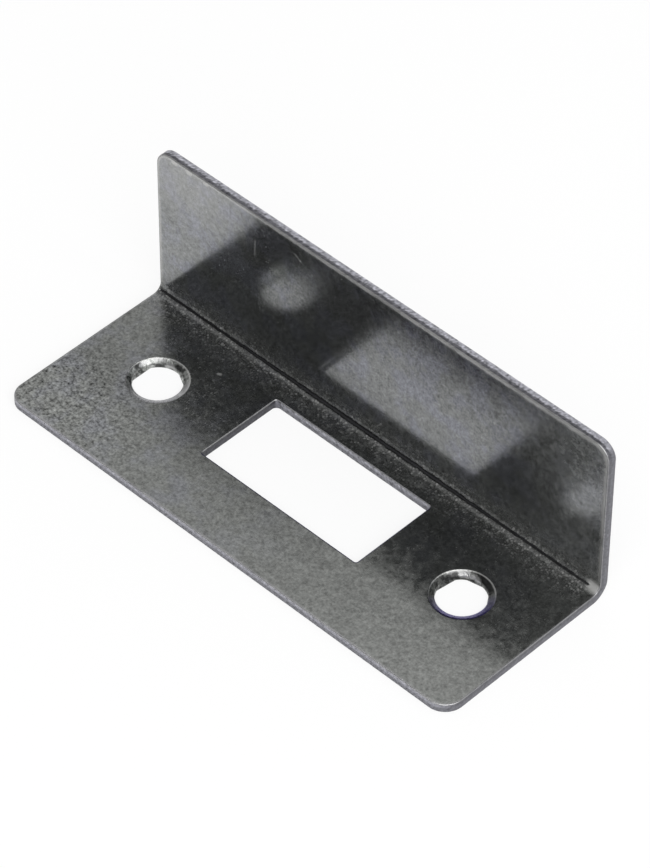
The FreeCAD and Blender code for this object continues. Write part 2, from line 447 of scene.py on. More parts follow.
def cut_profile(sizes):
    """A punched edge from the inner face to the outer.

    Each row says how far the edge stands back, its height and how much of it is rim.
    """
    top, rolled, burr = sizes.thickness, sizes.rolled_rim, sizes.burr_rim
    profile = [(rolled + GUARD, top, 0.0)]
    for step in range(RIM_STEPS + 1):
        angle = QUARTER * step / RIM_STEPS
        rim = math.sin(2 * angle)
        profile.append((rolled * (1 - math.sin(angle)), top - rolled * (1 - math.cos(angle)), rim))
    wall = top - rolled - burr
    for step in range(1, WALL_STEPS):
        profile.append((0.0, top - rolled - wall * step / WALL_STEPS, 0.0))
    for step in range(RIM_STEPS):
        angle = QUARTER * step / (RIM_STEPS - 1)
        rim = math.sin(2 * angle)
        profile.append((burr * (1 - math.cos(angle)), burr * (1 - math.sin(angle)), rim))
    profile.append((burr + GUARD, 0.0, 0.0))
    return profile


def countersink_profile(sizes, bore):
    """The wall of a screw hole: a cone from the inner face, and a short straight bore below it."""
    top = sizes.thickness
    cone = sizes.screw_head / 2 - bore
    mouth = [
        (cone + LIP + GUARD, top, 0.0), (cone + LIP, top, 0.5), (cone, top - LIP / 2, 1.0),
        (cone - ROLL / 2, top - ROLL_DEPTH * ROLL_SHOULDER, 1.0),
    ]
    slope = []
    for step in range(CONE_STEPS):
        down = step / CONE_STEPS
        slope.append(((cone - ROLL) * (1 - down), top - ROLL_DEPTH - (CONE_DEPTH - ROLL_DEPTH) * down, 0.0))
    foot = top - CONE_DEPTH
    wall = [(0.0, foot, 0.1), (0.0, foot / 2, 0.0), (0.0, BORE_END, 0.0)]
    return mouth + slope + wall + [(0.0, LIP, 0.5), (LIP, 0.0, 1.0), (LIP + GUARD, 0.0, 0.0)]


class Blank:
    """The flat sheet as one closed mesh, with its cut edges marked for the steps after it."""

    def __init__(self, sizes):
        self.sizes = sizes
        self.mesh = bmesh.new()
        points = self.mesh.verts.layers
        self.outward = points.float_vector.new("outward")
        for name in ("along", "cut", "rim", "upper", "lower", "contrast", "near", "oxide", "border"):
            setattr(self, name, points.float.new(name))
        self.wall_face = self.mesh.faces.layers.float.new("wall_face")
        self.tops, self.bottoms, self.shapes = [], [], []

    def cut_edge(self, shape, profile, sign, tones, marks, kind=1.0, oxide=0.65):
        """The wall along a shape. sign is 1 at the outline of the sheet, and -1 round a hole in it."""
        rows = []
        for stand_back, height, rim in profile:
            ring = shape.points(-sign * stand_back, 1 - height / self.sizes.thickness)
            run = 0.0
            row = []
            for index, (x, s, out) in enumerate(ring):
                if index:
                    run += math.dist((x, s), ring[index - 1][:2])
                vert = self.mesh.verts.new((x, s, height))
                facing = (sign * out[0], sign * out[1])
                vert[self.outward] = (*facing, 0.0)
                vert[self.along] = run
                vert[self.cut] = marks
                # lightness above and below and the rim's lightness, by the side the wall faces: painted
                # light and shade, the rim partly worn metal
                vert[self.upper], vert[self.lower], wear_and_highlight, vert[self.contrast] = blend_tones(tones, facing)
                vert[self.rim] = rim * wear_and_highlight
                vert[self.near] = max(0.0, facing[1] - facing[0]) * (sign < 0)
                vert[self.oxide] = oxide
                row.append(vert)
            rows.append(row)
        for vert in rows[0] + rows[-1]:
            vert[self.cut] = 0.0
        self.shapes.append((shape, sign, profile[0][0]))
        for row in rows:
            for vert in row:
                vert[self.border] = self.from_outline(vert.co.x, vert.co.y)
        last = len(rows) - 2
        for level, (upper, lower) in enumerate(zip(rows, rows[1:])):
            for index in range(len(upper)):
                following = (index + 1) % len(upper)
                corners = [upper[index], lower[index], lower[following], upper[following]]
                face = self.mesh.faces.new(corners if sign > 0 else corners[::-1])
                face[self.wall_face] = 0.0 if level in (0, last) else kind
        self.tops.append([vert.co.copy() for vert in rows[0]])
        self.bottoms.append([vert.co.copy() for vert in rows[-1]])

    def from_outline(self, x, s):
        """How far inside the first shape, the sheet's outline, a point lies."""
        return -self.shapes[0][0].distance(x, s)

    def holds(self, x, s):
        """Whether a point lies in the sheet, clear of its edges."""
        clearance = 0.06 * MM
        return all(sign * shape.distance(x, s) < -clearance - guard for shape, sign, guard in self.shapes)

    def skin(self, loops, grid, height, upwards):
        """A flat face between the loops, with the points of a grid inside it."""
        flat = []
        fences = []
        for loop in loops:
            first = len(flat)
            flat += [point.to_2d() for point in loop]
            fences += [(first + i, first + (i + 1) % len(loop)) for i in range(len(loop))]
        on_loops = len(flat)
        flat += [Vector(point) for point in grid if self.holds(*point)]
        found, edges, faces, _, sources, _ = delaunay_2d_cdt(flat, fences, [], 0, 1e-9)
        walls = {frozenset(edge) for edge, source in zip(edges, sources) if source}
        sides = [[frozenset((a, b)) for a, b in zip(f, f[1:] + f[:1])] for f in faces]
        beside = {}
        for number, face_sides in enumerate(sides):
            for side in face_sides:
                beside.setdefault(side, []).append(number)
        # the sheet is what a spill from one grid point reaches without crossing a loop
        waiting = [next(number for number, corners in enumerate(faces) if max(corners) >= on_loops)]
        reached = set(waiting)
        while waiting:
            for side in sides[waiting.pop()]:
                if side not in walls:
                    fresh = [number for number in beside[side] if number not in reached]
                    reached.update(fresh)
                    waiting += fresh
        verts = [self.mesh.verts.new((point.x, point.y, height)) for point in found]
        for vert in verts:
            vert[self.border] = self.from_outline(vert.co.x, vert.co.y)
        for number in sorted(reached):
            corners = faces[number] if upwards else faces[number][::-1]
            self.mesh.faces.new([verts[i] for i in corners])

    def finish(self, name):
        weld = 0.0002 * MM
        bmesh.ops.remove_doubles(self.mesh, verts=self.mesh.verts, dist=weld)
        for face in self.mesh.faces:
            face.smooth = True
        mesh = bpy.data.meshes.new(name)
        self.mesh.to_mesh(mesh)
        self.mesh.free()
        return mesh


def spread(low, high, step):
    """Even places from low to high, both ends among them."""
    count = max(1, round((high - low) / step))
    return [low + (high - low) * i / count for i in range(count + 1)]


class Fold:
    """The developed lengths of the sheet: its flat leg, its bend and its upright."""

    def __init__(self, sizes):
        self.outside = sizes.bend_inside + sizes.thickness
        self.flat = PLATE_HIGH.y - PLATE_LOW.y - self.outside
        self.bend = QUARTER * (sizes.bend_inside + sizes.thickness / 2)
        self.width = self.flat + self.bend + PLATE_HIGH.z - self.outside
        self.middle = self.flat + self.bend / 2
        # an arc of the inner face, for each length of the sheet's middle
        self.inner_share = sizes.bend_inside / (sizes.bend_inside + sizes.thickness / 2)


# Where the countersinks sit from the middles of their holes, and the flaps that the punch left in the left
# hole and the right one: their directions and distances.
HEAD_DIRECTION = math.radians(-38)
HOLE_BURRS = {
    -1: ((math.radians(180), 2.32 * MM), (math.radians(62), 2.46 * MM)),
    1: ((math.radians(172), 2.36 * MM), (math.radians(102), 2.48 * MM), (math.radians(35), 2.48 * MM)),
}


def punch_blank(sizes, fold):
    """The sheet with its outline, slot and screw holes, still flat."""
    blank = Blank(sizes)
    x_low, x_high = PLATE_LOW.x, PLATE_HIGH.x
    corners = (sizes.front_right, sizes.top_right, sizes.top_left, sizes.front_left)
    outline = Rectangle((x_low, 0.0), (x_high, fold.width), corners, corners, CORNER_STEPS)
    slot = Rectangle(
        (sizes.slot_shift - sizes.slot_length / 2, sizes.slot_from_front),
        (sizes.slot_shift + sizes.slot_length / 2, sizes.slot_from_front + sizes.slot_width),
        4 * (sizes.slot_corner,), 4 * (sizes.slot_corner_below,), SLOT_CORNER_STEPS,
    )
    bore = SCREWS["dims"]["hole_r_mm"] * MM
    holes_s = SCREWS["pos_m"][1] - PLATE_LOW.y
    spacing = SCREWS["dims"]["spacing_x_mm"] * MM
    cut = cut_profile(sizes)
    blank.cut_edge(outline, cut, 1, OUTLINE_TONES, 1.0)
    blank.cut_edge(slot, cut, -1, SLOT_TONES, 0.7)
    flare = sizes.screw_head / 2 - bore
    shift = (sizes.head_shift * math.cos(HEAD_DIRECTION), sizes.head_shift * math.sin(HEAD_DIRECTION))
    for side in (-1, 1):
        hole = Circle(
            side * spacing / 2 - sizes.screw_shift, holes_s, bore, flare, shift, HOLE_BURRS[side],
        )
        profile = countersink_profile(sizes, bore)
        tones = dict.fromkeys(OUTLINE_TONES, HOLE_TONES[side])
        blank.cut_edge(hole, profile, -1, tones, 0.5, kind=2.0, oxide=HOLE_OXIDE[side])
    clear_of_bend = fold.bend / 2 + LEG_GRID
    inner_rows = [s for s in spread(0, fold.width, LEG_GRID) if abs(s - fold.middle) > clear_of_bend]
    grid = [(x, s) for x in spread(x_low, x_high, LEG_GRID) for s in inner_rows]
    reach = fold.bend / 2 + CREASE_MARGIN
    for x in spread(x_low, x_high, CREASE_GRID):
        grid += [(x, s) for s in spread(fold.middle - reach, fold.middle + reach, CREASE_GRID / 2)]
    blank.skin(blank.tops, grid, sizes.thickness, True)
    outer_rows = inner_rows + spread(fold.flat, fold.flat + fold.bend, EDGE_STEP)
    grid = [(x, s) for x in spread(x_low, x_high, LEG_GRID) for s in outer_rows]
    blank.skin(blank.bottoms, grid, 0.0, False)
    return blank.finish("strike_plate_blank")


def named(write, name, kind="FLOAT"):
    node = write.add("GeometryNodeInputNamedAttribute", {"Name": name}, data_type=kind)
    return next(s for s in node.outputs if s.enabled and s.name == "Attribute")


def store(write, geometry, name, value, kind="FLOAT"):
    node = write.add("GeometryNodeStoreNamedAttribute", data_type=kind, domain="POINT")
    write.put(node.inputs["Geometry"], geometry)
    write.put(node.inputs["Name"], name)
    write.put(next(s for s in node.inputs if s.enabled and s.name == "Value"), value)
    return node.outputs[0]


FOLD_INPUTS = (
    "Front", "Flat leg", "Bend", "Outside radius", "Inner share", "Thickness", "Crease start", "Crease end",
    "Crease width", "Crease depth", "Grain height", "Grain size", "Shear depth", "Shear spacing",
)


def fold_tree():
    """Marks the blank with the punch's streaks and the crease, and folds it up."""
    inputs = [("Geometry", "NodeSocketGeometry")] + [(name, "NodeSocketFloat") for name in FOLD_INPUTS]
    inputs.append(("Seed", "NodeSocketInt"))
    inputs += [(name, "NodeSocketMaterial") for name in ("Skin", "Cut edge", "Countersink")]
    tree, given, out = new_tree("fold_up", "GeometryNodeTree", inputs, [("Geometry", "NodeSocketGeometry")])
    tree.is_modifier = True
    w = NodeWriter(tree)
    x, s, height = w.xyz(w.add("GeometryNodeInputPosition").outputs[0])
    shift = w.times(given["Seed"], 7.31)

    # streaks of the punch: they run down the wall, lean a little and break up lower down
    along, cut = named(w, "along"), named(w, "cut")
    lean = w.over(w.plus(along, w.times(height, 0.45)), given["Shear spacing"])
    depth_place = w.over(height, w.times(given["Thickness"], 0.9))
    streak = w.noise(w.join(lean, depth_place, shift), 1.0, 2.0, 0.6)
    push = w.times(w.minus(streak, 0.5), cut, w.times(given["Shear depth"], 2.0))
    streaked = w.scaled(named(w, "outward", "FLOAT_VECTOR"), push)

    # the crease: a capsule round a line, wider in its middle, that wanders a little
    place = w.join(w.over(x, MM), shift, 0.0)
    wander = w.times(w.minus(w.noise(place, 0.9, 1.0), 0.5), 0.12 * MM)
    middle = w.plus(given["Flat leg"], w.times(given["Bend"], 0.5))
    across = w.plus(w.times(w.minus(s, middle), given["Inner share"]), wander)
    beyond = w.most(w.minus(given["Crease start"], x), w.minus(x, given["Crease end"]))
    past_end = w.math("POWER", w.most(beyond, 0.0), 2.0)
    distance = w.math("SQRT", w.plus(w.math("POWER", across, 2.0), past_end))
    half = w.over(w.minus(given["Crease end"], given["Crease start"]), 2.0)
    centre = w.over(w.plus(given["Crease end"], given["Crease start"]), 2.0)
    share_out = w.over(w.math("ABSOLUTE", w.minus(x, centre)), half)
    swell = w.step(share_out, 0.2, 0.75, 1.1, 0.62)
    ragged = w.plus(0.45, w.times(w.noise(place, 3.4, 2.0, 0.7), 1.15))
    reach = w.times(given["Crease width"], 0.5, swell, ragged)
    share_across = w.math("MINIMUM", w.over(distance, reach), 1.0)
    groove = w.math("SQRT", w.minus(1.0, w.math("POWER", share_across, 2.0)))
    sunk = w.times(groove, given["Crease depth"], w.step(share_out, 0.9, 1.02, 1.0, 0.5))

    # crushed grains stand up beside it, further out on the flat leg than on the upright
    lumps = w.noise(w.scaled(w.join(x, across, shift), w.over(1.0, given["Grain size"])), 1.0, 2.0, 0.6)
    flat_side = w.step(across, -2.8 * MM, -0.7 * MM)
    upright_side = w.step(across, 0.4 * MM, 2.1 * MM, 1.0, 0.0)
    clear = w.step(w.over(distance, reach), 0.9, 1.3)
    length_mask = w.step(beyond, -0.2 * MM, 0.5 * MM, 1.0, 0.0)
    band = w.times(flat_side, upright_side, clear, length_mask)
    raised = w.times(w.step(lumps, 0.42, 0.72), given["Grain height"], band)
    inner = w.math("COMPARE", height, given["Thickness"], 0.01 * MM)
    lift = w.times(w.minus(raised, sunk), inner)

    # the crease's mask, which the skin fills with painted shade
    geometry = store(w, given["Geometry"], "crease", w.times(w.step(share_across, 0.95, 0.5), inner))
    geometry = store(w, geometry, "grains", w.times(band, inner))
    geometry = store(w, geometry, "down", w.minus(1.0, w.over(height, given["Thickness"])))

    # the fold: a turn of up to a quarter about the line at the bend's centre
    moved_x, moved_s, _ = w.xyz(streaked)
    new_x, new_s, new_height = w.plus(x, moved_x), w.plus(s, moved_s), w.plus(height, lift)
    share_bent = w.math("DIVIDE", w.minus(new_s, given["Flat leg"]), given["Bend"], clamp=True)
    angle = w.times(share_bent, QUARTER)
    arm = w.minus(given["Outside radius"], new_height)
    past = w.most(w.minus(w.minus(new_s, given["Flat leg"]), given["Bend"]), 0.0)
    run = w.math("MINIMUM", new_s, given["Flat leg"])
    y = w.plus(given["Front"], run, w.times(arm, w.math("SINE", angle)))
    z = w.plus(w.minus(given["Outside radius"], w.times(arm, w.math("COSINE", angle))), past)
    folded = w.add("GeometryNodeSetPosition", {"Geometry": geometry, "Position": w.join(new_x, y, z)})
    last = w.add("GeometryNodeRealizeInstances", {"Geometry": folded.outputs[0]})
    for label, least in (("Skin", -0.5), ("Cut edge", 0.5), ("Countersink", 1.5)):
        chosen = w.math("GREATER_THAN", named(w, "wall_face"), least)
        inputs = {"Geometry": last.outputs[0], "Material": given[label], "Selection": chosen}
        last = w.add("GeometryNodeSetMaterial", inputs)
    w.put(out["Geometry"], last.outputs[0])
    return tree


def apply_tree(piece, tree, values):
    """Runs a tree on a piece and keeps its result as a plain mesh."""
    modifier = piece.modifiers.new(tree.name, "NODES")
    modifier.node_group = tree
    for item in tree.interface.items_tree:
        if item.in_out == "INPUT" and item.name in values:
            modifier[item.identifier] = values[item.name]
    bpy.context.view_layer.update()
    graph = bpy.context.evaluated_depsgraph_get()
    mesh = bpy.data.meshes.new_from_object(
        piece.evaluated_get(graph), preserve_all_data_layers=True, depsgraph=graph,
    )
    piece.modifiers.remove(modifier)
    piece.data = mesh
    return mesh


# Finishes. Lengths inside a shader are in millimetres.


# Features for each millimetre: fine grain, clusters, mottle, clouds and thicker stretches.
FINE_GRAIN, CLUSTERS, MOTTLE, CLOUDS, THICK = 4.4, 1.9, 0.3, 0.85, 0.45
# The specks of two sizes: their number for each millimetre, their radius, and how scarce they are.
SPECKS = ((3.8, 0.5, 0.35), (2.1, 0.42, 0.55))
COARSE_SPECKS = 0.8


def grain_group():
    """The blackening's fine grain, its slow mottle, and rough specks in it."""
    outputs = [(name, "NodeSocketFloat") for name in ("Grain", "Mottle", "Cloud", "Speck")]
    inputs = [("Place", "NodeSocketVector")]
    tree, given, out = new_tree("blackening_grain", "ShaderNodeTree", inputs, outputs)
    w = NodeWriter(tree)
    place = given["Place"]
    fine, clusters = w.noise(place, FINE_GRAIN, 1.0), w.noise(place, CLUSTERS, 1.0)
    w.put(out["Grain"], w.minus(w.plus(w.times(fine, 0.55), w.times(clusters, 0.45)), 0.5))
    w.put(out["Mottle"], w.minus(w.noise(place, MOTTLE, 3.0, 0.6), 0.5))
    w.put(out["Cloud"], w.step(w.noise(place, CLOUDS, 2.0, 0.6), 0.38, 0.66))
    thick = w.step(w.noise(place, THICK, 2.0), 0.4, 0.6, 0.4, 1.0)
    small, large = [w.dots(place, *speck) for speck in SPECKS]
    w.put(out["Speck"], w.times(w.most(small, w.times(large, COARSE_SPECKS)), thick))
    return tree


def scratch_group():
    """A mask along a short straight scratch, thin at both ends."""
    tree, given, out = new_tree(
        "scratch", "ShaderNodeTree",
        [("Place", "NodeSocketVector"), ("Start", "NodeSocketVector"), ("End", "NodeSocketVector"),
         ("Width", "NodeSocketFloat")],
        [("Mask", "NodeSocketFloat")],
    )
    w = NodeWriter(tree)
    run = w.vector("SUBTRACT", given["End"], given["Start"])
    offset = w.vector("SUBTRACT", given["Place"], given["Start"])
    share_along = w.math(
        "DIVIDE", w.vector("DOT_PRODUCT", offset, run), w.vector("DOT_PRODUCT", run, run), clamp=True,
    )
    away = w.vector("LENGTH", w.vector("SUBTRACT", offset, w.scaled(run, share_along)))
    w.put(out["Mask"], w.step(w.over(away, given["Width"]), 0.3, 1.0, 1.0, 0.0))
    return tree


# Scratches and specks on the inner faces, with painted glints, a painted highlight and a painted reflection
# among them: start, end and width in millimetres, and how much bared metal shows, and for the painted ones
# how light.
SCRATCHES_AND_PAINTED_LIGHT = (
    ((-16.3, 9.3, 14.6), (-16.25, 9.3, 16.6), 0.11, 0.5),
    ((-10.8, 9.3, 18.3), (-10.0, 9.3, 17.8), 0.12, 0.5),
    ((0.5, 9.3, 2.6), (1.1, 9.3, 3.4), 0.12, 0.4),
    ((-17.0, 4.7, 1.0), (-16.8, 4.8, 1.0), 0.24, 0.55),
    ((28.3, 9.3, 19.85), (28.9, 9.3, 19.7), 0.28, 0.9),
    # a chip at the right end of the fold: bared metal with a painted highlight on it
    ((28.9, 8.9, 1.6), (29.9, 8.9, 1.5), 0.8, 0.95),
    # painted glints along the top of the upright's left end
    ((-27.6, 9.3, 19.7), (-27.3, 9.3, 19.7), 0.5, 1.0),
    ((-25.6, 9.3, 19.65), (-25.3, 9.3, 19.65), 0.5, 1.0),
    ((-23.2, 9.3, 19.65), (-22.9, 9.3, 19.65), 0.4, 0.9),
    # painted reflection: a wide light wash over the upright's top left, where it mirrors the floor
    ((-30.0, 9.3, 20.0), (-26.0, 9.3, 20.5), 9.0, 0.25),
)

# Painted reflections on the cones of the screw holes, light patches and dark ones: start, end and width in
# millimetres, and how light.
CONE_REFLECTIONS = (
    ((-23.65, -0.15, 0.74), (-23.65, 0.1, 0.74), 0.5, 0.02),
    ((-23.57, 0.45, 0.7), (-23.4, 1.0, 0.7), 0.42, 0.55),
    ((-23.0, 1.87, 0.84), (-22.4, 2.45, 0.84), 0.4, 0.3),
    ((-22.7, 1.85, 0.25), (-22.2, 2.2, 0.28), 0.5, 0.03),
    ((-21.85, 2.4, 0.35), (-21.3, 2.6, 0.48), 0.4, 0.5),
    ((-20.8, 2.75, 0.65), (-20.2, 2.75, 0.62), 0.6, 0.02),
    ((-22.9, -1.8, 0.68), (-21.7, -2.6, 0.59), 0.3, 0.03),
    ((-18.2, 1.6, 0.9), (-17.8, 0.6, 0.9), 0.5, 0.4),
    ((18.0, 1.2, 0.86), (19.2, 2.5, 0.86), 0.4, 0.3),
    ((17.9, 0.3, 0.68), (18.4, 1.4, 0.55), 0.5, 0.02),
    ((18.85, 1.9, 0.56), (19.2, 2.25, 0.58), 0.35, 0.4),
    ((19.75, 2.5, 0.55), (20.5, 2.6, 0.5), 0.45, 0.5),
    ((20.3, 3.0, 0.85), (22.2, 2.4, 0.8), 0.6, 0.03),
)


def steel_material(name, base_colour, roughness):
    """A material whose metal is set on the shader itself, with the place on the plate in millimetres."""
    material = bpy.data.materials.new(name)
    material.use_nodes = True
    w = NodeWriter(material.node_tree)
    shader = material.node_tree.nodes["Principled BSDF"]
    shader.inputs["Metallic"].default_value = 1.0
    shader.inputs["Base Color"].default_value = (*base_colour, 1.0)
    shader.inputs["Roughness"].default_value = roughness
    material.diffuse_color = (*base_colour, 1.0)
    place = w.scaled(w.add("ShaderNodeTexCoord").outputs["Object"], 1.0 / MM)
    return material, w, shader, place


def bump(w, height, distance_mm):
    node = w.add("ShaderNodeBump", {"Strength": 1.0, "Distance": distance_mm * MM, "Height": height})
    return node.outputs[0]


RIGHT, BACK, UP = 0, 1, 2

# How the finish, and the painted light and shade on the faces, change across the plate: along which axis,
# from where to where in millimetres, and its values before and after that.
CHANGES = {
    # from the flat leg to the upright
    "upright": (UP, 1.0, 4.0, 0.0, 1.0),
    # painted light and shade on the flat leg, lighter and darker where it mirrors bright and dark parts of
    # the room
    "leg from front": (BACK, -11.0, -4.0, 1.04, 0.98),
    "leg to right": (RIGHT, 8.0, 22.0, 0.0, 0.05),
    "leg to rear": (BACK, 0.0, 5.0, 0.0, -0.1),
    "leg middle begins": (BACK, -7.0, -4.0, 0.0, 1.0),
    "leg middle ends": (BACK, 0.0, 4.0, 1.0, 0.0),
    "leg middle lightens": (RIGHT, -14.0, 12.0, -0.12, 0.22),
    "leg middle darkens": (RIGHT, 17.0, 26.0, 0.0, -0.2),
    # painted light and shade on the upright, lighter and darker where it mirrors bright and dark parts of
    # the room
    "upright left end": (RIGHT, -19.0, -15.0, 1.07, 0.87),
    "past left end": (RIGHT, -19.0, -15.0, 0.0, 1.0),
    "upright middle": (RIGHT, -6.0, 2.0, 0.0, 0.1),
    "upper part": (UP, 9.0, 17.0, 0.0, 1.0),
    "upper part darkens": (RIGHT, -8.0, 6.0, 0.1, 0.26),
    "upper right lightens": (RIGHT, 15.0, 21.0, 0.0, -0.18),
    # where the blackening leans to blue
    "blue on leg": (RIGHT, -10.0, 10.0, 0.6, 0.0),
    "blue at right": (RIGHT, 17.0, 24.0, 1.0, 0.3),
    # darker beside the crease, most a little way up the fold
    "dirt on leg": (UP, 1.03, 1.13, 0.0, 1.0),
    "dirt on upright": (UP, 1.3, 1.6, 0.3, 0.0),
    # specks, clouds and the worn border, which also carries a painted highlight
    "speck share": (UP, 1.0, 4.0, 1.0, 0.5),
    "speck lightness": (RIGHT, -15.0, 10.0, 0.14, 0.06),
    "speck roughness": (RIGHT, -15.0, 10.0, 0.3, 0.1),
    "cloud roughness": (RIGHT, -15.0, 10.0, 0.08, 0.12),
    "border width": (RIGHT, 5.0, 22.0, 0.85, 1.3),
    # how rough the faces are
    "rougher above": (UP, 8.0, 16.0, 0.0, 0.015),
    "rougher at right": (RIGHT, 8.0, 22.0, 0.0, 0.03),
    "leg smoother": (RIGHT, 0.0, 20.0, 0.0, -0.06),
    # the chalky film
    "film before fold": (BACK, 5.5, 8.0, 0.0, 0.05),
    "film along fold": (BACK, 7.6, 8.6, 0.0, 0.07),
    "film in fold": (BACK, 8.9, 9.2, 0.0, 1.0),
    "film in right fold": (RIGHT, -8.0, 10.0, 0.0, 0.07),
    "film on right leg": (RIGHT, 15.0, 27.0, 0.0, 0.055),
    "film at right end": (RIGHT, 17.5, 28.0, 0.0, 0.17),
    "film thickens up": (UP, 8.0, 17.0, 0.75, 1.7),
    "film low down": (UP, 2.5, 9.0, 0.1, 0.0),
    "film low at right": (RIGHT, -12.0, 12.0, 0.4, 1.0),
    "film higher up": (UP, 4.0, 13.0, 0.015, 0.055),
}

# The grain is coarsest at the front left: the place, how fast it falls off along each axis, and its reach.
COARSEST = (-27.0, -9.0, 1.0)
COARSE_REACH = (1.0, 1.6, 1.0)
COARSE_FALL = (3.0, 16.0, 1.7, 0.75)
# How strongly the grain and the mottle change the skin's lightness, and the blue of the upright.
GRAIN_TONE, MOTTLE_TONE, UPRIGHT_BLUE = 2.4, 0.35, 0.25
# The bared grains beside the crease and a finer kind among them: their number, radius and scarcity, and then
# their strengths.
BARED, FINE_BARED = (3.6, 0.65, 0.1), (8.0, 0.7, 0.1)
FINE_BARED_SHARE, BARED_LIGHTNESS, BARED_ROUGHNESS, RUBBED_ROUGHNESS = 0.5, 0.68, 0.4, 0.2
# How strongly the band beside the crease is darkened, how much less the clouds roughen the upright, and how
# much more the upright's border is lightened as worn metal and painted highlight.
DARKENING_SHARE, CLOUD_ON_UPRIGHT, UPRIGHT_WEAR_AND_HIGHLIGHT = 0.3, 0.06, 0.4
# The worn border, partly worn metal and partly a painted highlight along the rims: its reach in millimetres,
# and how worn it is by the mottle.
BORDER_REACH = (0.06, 0.34, 1.0, 0.0)
BORDER_WEAR = (-0.15, 0.1, 0.2, 0.5)
# The slow waves in the skin and the ripples on them: features for each millimetre, and their heights.
WAVES, RIPPLES, WAVE_HEIGHT, RIPPLE_HEIGHT, SKIN_BUMP = 0.12, 1.0, 5.0, 1.5, 0.0025


